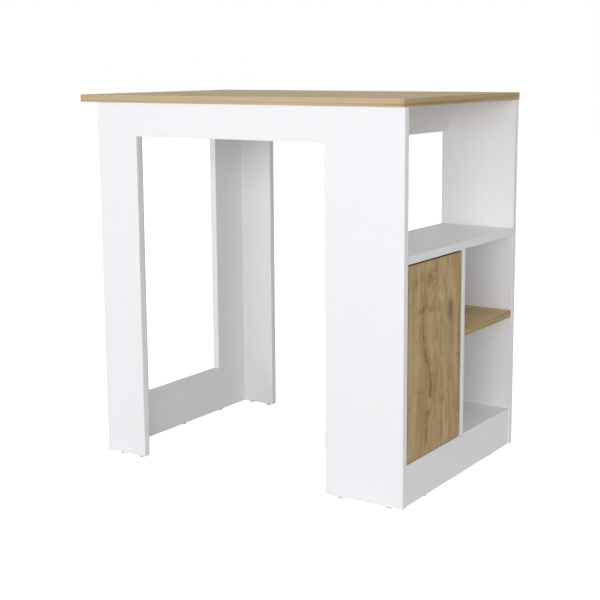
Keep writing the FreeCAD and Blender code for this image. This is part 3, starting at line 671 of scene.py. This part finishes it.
def make_piece(name, points, faces, material, body, flat=None):
    """Mesh object that rides on a body; flat is its own map, with one place for each corner of each face."""
    mesh = bpy.data.meshes.new(name)
    mesh.from_pydata(points.reshape(-1, 3), [], faces)
    mesh.validate()
    if flat is not None:
        layer = mesh.uv_layers.new(name="UVMap")
        layer.data.foreach_set("uv", flat.astype(np.float32).ravel())
    mesh.materials.append(material)
    mesh.shade_smooth()
    mesh.set_sharp_from_angle(angle=SHARP_ANGLE)
    piece = bpy.data.objects.new(name, mesh)
    bpy.context.scene.collection.objects.link(piece)
    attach(piece, body)
    return piece


def sides_of(axis):
    """The two axes that follow one axis in a right-handed set."""
    return (axis + 1) % 3, (axis + 2) % 3


def band_profile(width):
    """Closed outline of a band, as offsets outwards and across, and the distance round it.

    The outline has two rounded arrises, each a quarter circle with a lap, and a flat back.
    """
    size = sizes()
    radius, proud, lap = size.band_radius, size.band_proud, size.band_lap
    turn = np.linspace(0.0, math.pi / 2, ARRIS_POINTS)
    reach = radius + proud
    arris_out = -radius + reach * np.sin(turn)
    arris_across = width / 2 - radius + reach * np.cos(turn)
    back = -size.band_thickness - radius
    half_out = np.concatenate([[back, -radius - lap], arris_out])
    half_across = np.concatenate([[width / 2 - radius, width / 2 + proud], arris_across])
    out = np.concatenate([half_out, half_out[::-1]])
    across = np.concatenate([half_across, -half_across[::-1]])
    steps = np.hypot(np.diff(out), np.diff(across))
    return out, across, np.concatenate([[0.0], np.cumsum(steps)])


def straight_band(name, node, face, material, body):
    """Band on one narrow face of a board: the band's outline carried straight along the face's long side."""
    low, high = (np.array(corner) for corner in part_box(node))
    normal = AXES.index(face[1])
    sign = 1.0 if face[0] == "+" else -1.0
    sides = sides_of(normal)
    thin, long = sorted(sides, key=lambda axis: high[axis] - low[axis])
    out, across, distance = band_profile(high[thin] - low[thin])
    ends = np.array([low[long], high[long]])
    points = np.empty((2, len(out), 3))
    points[..., normal] = (high if sign > 0 else low)[normal] + sign * out
    points[..., thin] = (low[thin] + high[thin]) / 2 + across
    points[..., long] = ends[:, None]
    quads = grid_quads(2, len(out), False)
    first = np.arange(len(out))
    faces = quads.tolist() + [first.tolist(), (first + len(out))[::-1].tolist()]
    right_handed = (thin, long) == sides
    if right_handed == (sign > 0):
        faces = [item[::-1] for item in faces]
    flat = grid_map(ends, distance)
    make_piece(name, points, faces, material, body, flat[np.concatenate(faces)])


def ring_band(name, node, normal, material, body):
    """Band right round a board: the band's outline carried round the board's rounded rectangle.

    At each offset outwards, the rectangle grows by that offset and its corner radius with it.
    """
    low, high = (np.array(corner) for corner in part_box(node))
    first, second = sides_of(normal)
    out, across, distance = band_profile(high[normal] - low[normal])
    radius = np.maximum(sizes().band_radius + out, LEAST_RADIUS)
    centre = (low + high) / 2
    half = (high - low) / 2
    turn = np.linspace(0.0, math.pi / 2, CORNER_POINTS)
    angles = np.concatenate([quarter * math.pi / 2 + turn for quarter in range(4)])
    corner_x = np.repeat([1.0, -1.0, -1.0, 1.0], len(turn))
    corner_y = np.repeat([1.0, 1.0, -1.0, -1.0], len(turn))
    points = np.empty((len(angles), len(out), 3))
    inset = out - radius
    for axis, side, turned in ((first, corner_x, np.cos(angles)), (second, corner_y, np.sin(angles))):
        points[..., axis] = centre[axis] + side[:, None] * (half[axis] + inset) + np.outer(turned, radius)
    points[..., normal] = centre[normal] + across
    closed = np.concatenate([points[:, 0], points[:1, 0]])
    along = np.concatenate([[0.0], np.cumsum(np.linalg.norm(np.diff(closed, axis=0), axis=1))])
    faces = grid_quads(len(angles), len(out), True)
    flat = grid_map(along[:-1], distance)[faces]
    rows = faces // len(out)
    past_seam = (rows == 0) & (rows.max(axis=1) == len(angles) - 1)[:, None]
    flat[past_seam, 0] = along[-1]
    make_piece(name, points, faces.tolist(), material, body, flat)


def solids_of(node):
    """Points of each solid in a CAD node, found by spreading the lowest label over touching triangles."""
    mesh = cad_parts[node].data
    points = np.empty(len(mesh.vertices) * 3, np.float32)
    mesh.vertices.foreach_get("co", points)
    points = points.reshape(-1, 3)
    mesh.calc_loop_triangles()
    triangles = np.empty(len(mesh.loop_triangles) * 3, np.int32)
    mesh.loop_triangles.foreach_get("vertices", triangles)
    _, merged = np.unique(np.round(points / WELD), axis=0, return_inverse=True)
    merged = merged.reshape(-1)
    triangles = merged[triangles.reshape(-1, 3)]
    labels = np.arange(merged.max() + 1)
    settled = False
    while not settled:
        lowest = labels[triangles].min(axis=1)
        spread = labels.copy()
        for corner in range(3):
            np.minimum.at(spread, triangles[:, corner], lowest)
        settled = np.array_equal(spread, labels)
        labels = spread
    owner = labels[merged]
    return [points[owner == label] for label in np.unique(owner)]


def screw_seat(points):
    """Head's outer end, direction into the board, length and head radius of one screw's points."""
    low, high = points.min(axis=0), points.max(axis=0)
    axis = int(np.argmax(high - low))
    centre = (low + high) / 2
    reach = np.linalg.norm(np.delete(points - centre, axis, axis=1), axis=1)
    head_radius = reach.max()
    head_at_top = points[reach > RIM_SHARE * head_radius][:, axis].mean() > centre[axis]
    start = centre.copy()
    start[axis] = high[axis] if head_at_top else low[axis]
    into = np.zeros(3)
    into[axis] = -1.0 if head_at_top else 1.0
    return start, into, high[axis] - low[axis], head_radius


def screw_points(start, into, reach, head_radius):
    """Screw as a surface of revolution whose domed head is sunk by a cross.

    The head's face falls from the dome to the rim as a parabola. Within the recess it is lower by the recess
    depth where the distance to the nearer of two crossed lines is under half an arm's width, with soft walls.
    """
    size = sizes()
    steps, face_rings, face_span = 48, 16, (0.02, 0.9)
    shank_radius, tip_radius, tip_length = 1.7 * MM, 0.51 * MM, 3.0 * MM
    edge_depth, rim_depth, neck_depth = 1.3 * size.dome, 1.6 * MM, 2.2 * MM
    wall = 0.15 * MM
    turn = np.linspace(0.0, 2 * math.pi, steps, endpoint=False)
    face = np.linspace(*face_span, face_rings) * head_radius
    fall = size.dome * (face / head_radius) ** 2
    rings = np.concatenate([face, [head_radius, head_radius, shank_radius, shank_radius, tip_radius]])
    depths = np.concatenate([fall, [edge_depth, rim_depth, neck_depth, reach - tip_length, reach]])
    x = np.outer(rings, np.cos(turn))
    y = np.outer(rings, np.sin(turn))
    to_arm = np.minimum(np.abs(x), np.abs(y))
    inside = np.clip((size.recess_width / 2 - to_arm) / wall + 0.5, 0.0, 1.0)
    inside = inside * np.clip((size.recess_radius - rings[:, None]) / wall + 0.5, 0.0, 1.0)
    inside[len(face):] = 0.0
    depth = depths[:, None] + size.recess_depth * inside
    axis = int(np.argmax(np.abs(into)))
    across, up = np.eye(3)[list(sides_of(axis))]
    if into[axis] < 0:
        across, up = up, across
    return start + x[..., None] * across + y[..., None] * up + depth[..., None] * into


def screws(node, body, material):
    """All the screws of one CAD group as one piece that stands for it."""
    points = []
    faces = []
    count = 0
    for solid in solids_of(node):
        grid = screw_points(*screw_seat(solid))
        rows, columns = grid.shape[:2]
        quads = grid_quads(rows, columns, False) + count
        first = np.arange(columns) + count
        faces += quads.tolist() + [first[::-1].tolist(), (first + (rows - 1) * columns).tolist()]
        points.append(grid.reshape(-1, 3))
        count += rows * columns
    piece = make_piece(node + "_crosshead", np.concatenate(points), faces, material, body)
    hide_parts(node)


def dress(nodes, material):
    """Give CAD nodes a finish."""
    for name in nodes:
        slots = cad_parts[name].data.materials
        slots.clear()
        slots.append(material)


class ISLAND_OT_white_boards(bpy.types.Operator):
    """White melamine on the boards of the frame and the cabinet, with a glued band on each exposed edge"""

    bl_idname = "island.white_boards"
    bl_label = "White Boards"

    def execute(self, context):
        dress(WHITE_BOARDS, white_melamine("white melamine", colours().white))
        dress(("cabinet_back",), white_hardboard())
        band = white_melamine("white band", colours().white_band)
        names = {"+": "outer", "-": "inner"}
        for node, faces in WHITE_BOARDS.items():
            for face in faces:
                name = "_".join((node, face[1], names[face[0]], "band"))
                straight_band(name, node, face, band, "carcass")
        return {"FINISHED"}


class ISLAND_OT_worktop(bpy.types.Operator):
    """Oak worktop with straight grain along its length and a glued band right round it"""

    bl_idname = "island.worktop"
    bl_label = "Worktop"

    def execute(self, context):
        figure = Figure(
            seed=0.31, heart=0.19, paleness=-0.045, clouds=0.2, lines=0.3, wash_and_painted_light=0.04, taper=0.17,
            core=core_of("worktop", 2))
        dress(("worktop",), Oak("oak worktop", grain_along_x, figure).material)
        # Round the band, paleness and wash drift as painted light and shade: the long front, which faces the
        # lamps, is painted paler and more chalky, and the end at +X darker and with no wash.
        paleness = round_band((0.0, -0.01), (1.5, -0.005), (2.34, -0.005), (2.46, -0.06), (3.0, -0.05))
        wash_and_painted_light = round_band((0.0, 0.08), (1.4, 0.08), (1.56, 0.14), (2.32, 0.14), (2.48, 0.0), (3.0, 0.0))
        figure = Figure(seed=0.83, heart=0.40, paleness=paleness, clouds=0.15, lines=0.5, wash_and_painted_light=wash_and_painted_light)
        band = Oak("oak worktop band", grain_along_band, figure, roughness=0.24, specular=0.1)
        ring_band("worktop_band", "worktop", 2, band.material, "carcass")
        return {"FINISHED"}


def door_knots():
    """Knots of the door's print, large and small."""
    return (
        Knot(across=-0.203, along=0.436, half_width=0.009, half_length=0.009, darkness=0.66),
        Knot(across=-0.071, along=0.415, half_width=0.014, half_length=0.036, darkness=0.80),
        Knot(across=-0.106, along=0.213, half_width=0.010, half_length=0.009, darkness=0.45),
        Knot(across=-0.181, along=0.494, half_width=0.014, half_length=0.011, darkness=0.45),
        Knot(across=-0.190, along=0.460, half_width=0.010, half_length=0.011, darkness=0.32),
        Knot(across=-0.169, along=0.245, half_width=0.009, half_length=0.016, darkness=0.50),
        Knot(across=-0.140, along=0.372, half_width=0.012, half_length=0.020, darkness=0.30),
        Knot(across=-0.176, along=0.196, half_width=0.016, half_length=0.012, darkness=0.60),
    )


def door_cracks():
    """Cracks of the door's print, along the grain."""
    long_crack = Mark(
        line=((0.226, -0.167), (0.270, -0.166), (0.296, -0.170), (0.333, -0.194), (0.360, -0.201),
              (0.406, -0.204), (0.440, -0.206), (0.500, -0.199)),
        darkness=((0.226, 0.0), (0.242, 1.0), (0.272, 1.0), (0.305, 0.65), (0.333, 1.0), (0.352, 0.85),
                  (0.405, 0.80), (0.440, 0.50), (0.500, 0.0)),
        half_width=0.0045)
    left_crack = Mark(
        line=((0.112, -0.188), (0.150, -0.186), (0.185, -0.187), (0.205, -0.184)),
        darkness=((0.112, 0.0), (0.135, 0.85), (0.175, 1.0), (0.205, 0.0)),
        half_width=0.0035)
    right_crack = Mark(
        line=((0.116, -0.110), (0.140, -0.109), (0.170, -0.110)),
        darkness=((0.116, 0.0), (0.145, 0.85), (0.170, 0.0)),
        half_width=0.0025)
    return long_crack, left_crack, right_crack


def door_ripples():
    """Dark ripples of the door's print, across the grain: wings beside a knot, an arch over it, one below."""
    wings = Mark(
        line=((-0.246, 0.429), (-0.207, 0.439), (-0.196, 0.441), (-0.166, 0.431), (-0.123, 0.426),
              (-0.086, 0.416)),
        darkness=((-0.246, 0.0), (-0.207, 0.55), (-0.166, 0.40), (-0.123, 0.30), (-0.086, 0.0)),
        half_width=0.0045, crosswise=True)
    arch = Mark(
        line=((-0.250, 0.501), (-0.228, 0.504), (-0.208, 0.509), (-0.201, 0.501), (-0.193, 0.508),
              (-0.177, 0.507), (-0.158, 0.492)),
        darkness=((-0.250, 0.0), (-0.215, 0.50), (-0.201, 0.35), (-0.180, 0.55), (-0.158, 0.0)),
        half_width=0.004, crosswise=True)
    low_ripple = Mark(
        line=((-0.236, 0.257), (-0.215, 0.252), (-0.201, 0.248), (-0.192, 0.238)),
        darkness=((-0.236, 0.0), (-0.220, 0.45), (-0.201, 0.45), (-0.192, 0.0)),
        half_width=0.002, crosswise=True)
    return wings, arch, low_ripple


def door_streaks():
    """Broad dark streaks of the door's print, along the grain."""
    upper_streak = Mark(
        line=((0.395, -0.152), (0.450, -0.148), (0.541, -0.151)),
        darkness=((0.395, 0.0), (0.450, 0.45), (0.500, 0.60), (0.541, 0.45)),
        half_width=0.008)
    right_streak = Mark(
        line=((0.150, -0.026), (0.300, -0.024), (0.420, -0.026)),
        darkness=((0.150, 0.20), (0.290, 0.70), (0.340, 0.70), (0.420, 0.0)),
        half_width=0.006)
    return upper_streak, right_streak


class ISLAND_OT_door(bpy.types.Operator):
    """Oak door with upright rustic grain, knots and cracks, and a glued band right round it"""

    bl_idname = "island.door"
    bl_label = "Door"

    def execute(self, context):
        figure = Figure(
            seed=0.12, heart=-0.14, paleness=-0.008, core=core_of("door", 0), knots=door_knots(),
            marks=(*door_cracks(), *door_ripples(), *door_streaks()))
        dress(("door",), Oak("oak door", grain_along_z, figure, specular=0.15).material)
        # The band's flat along the door's top edge is painted towards the tone of the cracks: painted shade
        # that darkens the reveal between the closed door and the shelf over it. The band's low paleness makes
        # it darker than the door's face all round, a band tone that also deepens the reveals round the door
        # as painted shade.
        painted_shade = round_band((0.0, 0.9), (0.255, 0.9), (0.265, 0.0), (1.39, 0.0))
        figure = Figure(
            seed=0.47, heart=0.40, paleness=-0.12, clouds=0.15, painted_shade=painted_shade, painted_shade_edge=2.6 * MM)
        band = Oak("oak door band", grain_along_band, figure, roughness=0.7, specular=0.1)
        ring_band("door_band", "door", 0, band.material, "door")
        return {"FINISHED"}


class ISLAND_OT_bay_shelf(bpy.types.Operator):
    """Small oak shelf with grain from front to back and a glued band on its front"""

    bl_idname = "island.bay_shelf"
    bl_label = "Bay Shelf"

    def execute(self, context):
        paleness = ((0.25, -0.03), (0.36, -0.01), (0.42, 0.03), (0.47, 0.07))
        figure = Figure(
            seed=0.66, heart=0.11, paleness=paleness, clouds=0.35, lines=0.3, core=core_of("bay_shelf", 2))
        dress(("bay_shelf",), Oak("oak shelf", grain_along_x, figure).material)
        figure = Figure(seed=0.52, heart=0.40, paleness=-0.08, clouds=0.15, lines=0.15)
        band = Oak("oak shelf band", grain_along_band, figure)
        straight_band("bay_shelf_band", "bay_shelf", "+x", band.material, "carcass")
        return {"FINISHED"}


class ISLAND_OT_fittings(bpy.types.Operator):
    """Metal and plastic finishes of the fittings, and screws with a cross recess"""

    bl_idname = "island.fittings"
    bl_label = "Fittings"

    def execute(self, context):
        tones = colours()
        zinc = plated("zinc plating", tones.zinc, roughness=0.28, mottle_rate=220.0)
        nickel = plated("nickel plating", tones.nickel, roughness=0.22, mottle_rate=90.0)
        casting = plated("zinc casting", tones.casting, roughness=0.42, mottle_rate=500.0)
        white_plastic = moulded("white plastic", tones.moulded_white, roughness=0.40)
        grey_plastic = moulded("grey plastic", tones.moulded_grey, roughness=0.36)
        glide_plastic = moulded("glide plastic", tones.glide, roughness=0.45)
        dress(("cam_bolts", "back_nails", "shelf_pins", "strike_plate", *SCREW_GROUPS), zinc)
        dress(("cam_locks",), casting)
        for level in ("lower", "upper"):
            dress([level + piece for piece in ("_hinge_cup", "_hinge_pin", "_hinge_arm")], nickel)
            dress((level + "_hinge_plate",), casting)
        dress(("worktop_brackets", "latch_holder"), white_plastic)
        dress(("latch_plunger",), grey_plastic)
        dress(("floor_glides",), glide_plastic)
        dress(("wooden_dowels",), beech())
        for node, body in SCREW_GROUPS.items():
            screws(node, body, zinc)
        return {"FINISHED"}


# Way to the side behind the island, as the camera sees it, where the sky is brightest
FAR_SIDE = (-0.5, 0.866, 0.0)

# Each lamp's bearing from -Y towards +X and its height over the horizon, in degrees
LAMPS = {"left lamp": (-30.0, 15.0), "front lamp": (28.0, 8.0), "high lamp": (70.0, 60.0)}

# The most that a lamp is tall, in heights of its middle over the floor
LAMP_TALL = 1.9

FLOOR_SIDES = 96
SENSOR_WIDTH = 36.0


def shown_to_lens(nodes):
    """1 for rays from the camera, and for those that metal or glass sends on, and otherwise 0."""
    path = nodes.add("LightPath").outputs
    seen = path["Is Camera Ray"]
    for name in ("Is Glossy Ray", "Is Transmission Ray"):
        seen = nodes.math("MAXIMUM", seen, path[name])
    return seen


def make_sky():
    """Light from all round that grows towards the far side, which the lens sees as plain white."""
    values = stage()
    world = bpy.data.worlds.new("studio white")
    bpy.context.scene.world = world
    world.use_nodes = True
    nodes = Nodes(world.node_tree)
    direction = nodes.add("TexCoord").outputs["Generated"]
    facing = nodes.add("VectorMath", (direction, FAR_SIDE), operation="DOT_PRODUCT").outputs["Value"]
    light = nodes.add("MapRange", (facing, 0.0, 1.0, values.sky, values.sky + values.sky_back)).outputs[0]
    strength = nodes.add("Mix", (shown_to_lens(nodes), None, light, 1.0)).outputs[0]
    background = nodes.tree.nodes["Background"]
    nodes.put(background.inputs["Color"], PLAIN_WHITE)
    nodes.put(background.inputs["Strength"], strength)


def make_floor():
    """Round pale floor: a plain matt disc, which also glows white to the lens so that it meets the sky."""
    values = stage()
    turn = np.linspace(0.0, 2 * math.pi, FLOOR_SIDES, endpoint=False)
    points = np.stack([np.cos(turn), np.sin(turn), np.zeros_like(turn)], axis=1) * values.floor_radius
    mesh = bpy.data.meshes.new("floor")
    mesh.from_pydata(points, [], [list(range(FLOOR_SIDES))])
    finish = Finish("pale floor", specular=0.0)
    finish.give("Base Color", (*even(values.floor_tone), 1.0))
    finish.give("Roughness", 1.0)
    finish.give("Emission Color", PLAIN_WHITE)
    finish.give("Emission Strength", finish.math("MULTIPLY", shown_to_lens(finish), values.floor_glow))
    mesh.materials.append(finish.material)
    floor = bpy.data.objects.new("floor", mesh)
    bpy.context.scene.collection.objects.link(floor)


def make_lamp(name, bearing, elevation, watts):
    """Soft lamp that faces the island's middle, at a bearing from -Y towards +X and so far above the horizon.

    A low lamp is less tall than the others, so that it ends just over the floor.
    """
    values = stage()
    reach = values.lamp_distance * math.cos(elevation)
    height = (CAD_BOX[0].z + CAD_BOX[1].z) / 2 + values.lamp_distance * math.sin(elevation)
    data = bpy.data.lights.new(name, "AREA")
    data.shape = "RECTANGLE"
    data.size = values.lamp_side
    data.size_y = min(values.lamp_side, LAMP_TALL * height)
    data.energy = watts
    lamp = bpy.data.objects.new(name, data)
    lamp.location = (reach * math.sin(bearing), -reach * math.cos(bearing), height)
    lamp.rotation_euler = (math.pi / 2 - elevation, 0.0, bearing)
    bpy.context.scene.collection.objects.link(lamp)


def make_camera():
    """Camera at the photograph's place."""
    values = stage()
    data = bpy.data.cameras.new("camera")
    data.sensor_width = SENSOR_WIDTH
    data.lens = values.camera_lens
    data.shift_x, data.shift_y = values.camera_shift
    camera = bpy.data.objects.new("camera", data)
    camera.location = values.camera_place
    aim = Euler((math.pi / 2 - values.camera_dip, 0.0, values.camera_heading)).to_matrix()
    camera.rotation_euler = (aim @ Matrix.Rotation(values.camera_roll, 3, "Z")).to_euler()
    bpy.context.scene.collection.objects.link(camera)
    bpy.context.scene.camera = camera


class ISLAND_OT_stage(bpy.types.Operator):
    """Pale floor, sky, three soft lamps and the camera"""

    bl_idname = "island.stage"
    bl_label = "Stage"

    def execute(self, context):
        make_sky()
        make_floor()
        for name, (bearing, elevation) in LAMPS.items():
            watts = getattr(stage(), name.replace(" ", "_"))
            make_lamp(name, math.radians(bearing), math.radians(elevation), watts)
        make_camera()
        context.scene.view_settings.view_transform = "Standard"
        return {"FINISHED"}


STEPS = (
    ISLAND_OT_white_boards, ISLAND_OT_worktop, ISLAND_OT_door, ISLAND_OT_bay_shelf, ISLAND_OT_fittings,
    ISLAND_OT_stage,
)
GROUPS = {"island_colours": IslandColours, "island_sizes": IslandSizes, "island_stage": IslandStage}


class ISLAND_PT_panel(bpy.types.Panel):
    """Values and steps of the island's looks"""

    bl_idname = "ISLAND_PT_panel"
    bl_label = "Kitchen Island"
    bl_space_type = "VIEW_3D"
    bl_region_type = "UI"
    bl_category = "Island"

    def draw(self, context):
        for step in STEPS:
            self.layout.operator(step.bl_idname)
        for group, kind in GROUPS.items():
            box = self.layout.box()
            for key in kind.__annotations__:
                box.prop(getattr(context.scene, group), key)


CLASSES = (*GROUPS.values(), *STEPS, ISLAND_PT_panel)


def register():
    """Add the classes, and the user's values to the scene."""
    for kind in CLASSES:
        bpy.utils.register_class(kind)
    for group, kind in GROUPS.items():
        setattr(bpy.types.Scene, group, bpy.props.PointerProperty(type=kind))


def unregister():
    """Take out what register added, in the reverse order."""
    for group in GROUPS:
        delattr(bpy.types.Scene, group)
    for kind in reversed(CLASSES):
        bpy.utils.unregister_class(kind)


def main():
    """Dress the island and set its stage, step by step."""
    register()
    bpy.ops.island.white_boards()
    bpy.ops.island.worktop()
    bpy.ops.island.door()
    bpy.ops.island.bay_shelf()
    bpy.ops.island.fittings()
    bpy.ops.island.stage()


if __name__ == "__main__":
    main()
